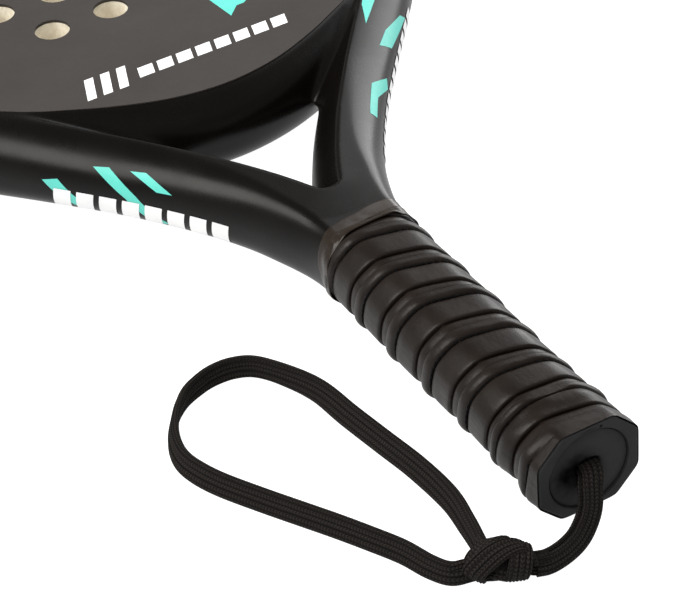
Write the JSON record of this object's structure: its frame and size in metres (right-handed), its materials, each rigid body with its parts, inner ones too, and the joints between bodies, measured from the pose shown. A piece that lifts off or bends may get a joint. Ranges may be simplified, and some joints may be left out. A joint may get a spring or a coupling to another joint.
{
  "type": "padel racket",
  "caption": "Padel racket with a drilled foam-cored head, open throat, wound grip, butt cap and a knotted wrist cord.",
  "frame": {"origin": "under the middle of the racket's length, on its plane of symmetry, on the surface that the rear face lies on", "axes": "+X across the racket, +Y from the butt to the tip of the head, +Z out of the front face"},
  "size_m": [0.256, 0.474, 0.033],
  "materials": {
    "painted_frame": "satin black lacquer over glass and carbon fibre laminate",
    "face_laminate": "matt charcoal lacquer over fibre laminate",
    "eva_foam": "cream closed-cell foam, drilled",
    "handle_foam": "moulded polyurethane foam",
    "cap_plastic": "matt dark grey moulded plastic",
    "staple_steel": "plain steel wire",
    "grip_leather": "semi-gloss warm black polyurethane leather with stitched ribs",
    "finishing_tape": "glossy brown-black vinyl tape",
    "cord_braid": "black flat polyester braid"
  },
  "bodies": {
    "root": {"frame_tube": "painted_frame", "throat_bridge": "painted_frame", "eva_core": "eva_foam", "front_face": "face_laminate", "rear_face": "face_laminate", "handle_pallet_front": "handle_foam", "handle_pallet_rear": "handle_foam", "butt_cap": "cap_plastic", "cap_staple_left": "staple_steel", "cap_staple_right": "staple_steel", "grip_wrap": "grip_leather", "finishing_tape": "finishing_tape", "cord_stop_knot": "cord_braid", "cord_lead": "cord_braid", "cord_loop": "cord_braid", "cord_knot": "cord_braid"}
  },
  "joints": []
}
